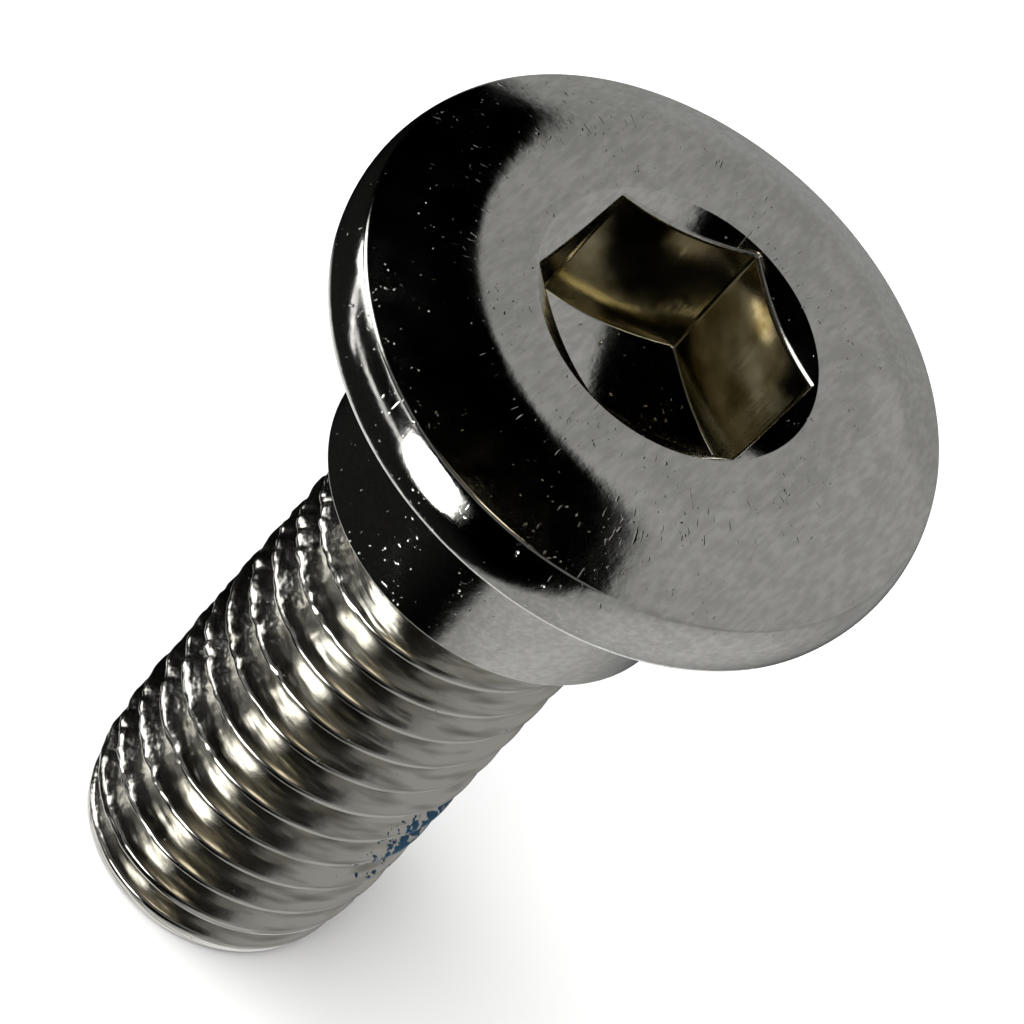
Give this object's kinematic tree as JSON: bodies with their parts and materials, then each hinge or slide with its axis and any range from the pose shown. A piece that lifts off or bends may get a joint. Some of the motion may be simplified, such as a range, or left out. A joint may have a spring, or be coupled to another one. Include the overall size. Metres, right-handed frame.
{
  "type": "hex socket cap screw with shoulder",
  "caption": "Low bevelled head with a countersunk hex socket, a plain shoulder under it and a right-hand M8 thread with a tapered tip.",
  "frame": {"origin": "centre of the head's bearing face, where the shoulder leaves the head", "axes": "+Z along the screw's axis, out of the head; the shank runs down along -Z; +X points at a corner of the hex socket"},
  "size_m": [0.016, 0.016, 0.0249],
  "materials": {
    "nickel_plate": "steel with a bright nickel plating, with small pits and scuffs, and specks of blue thread-locking coat on one side of the thread"
  },
  "bodies": {
    "root": {"screw": "nickel_plate"}
  },
  "joints": []
}
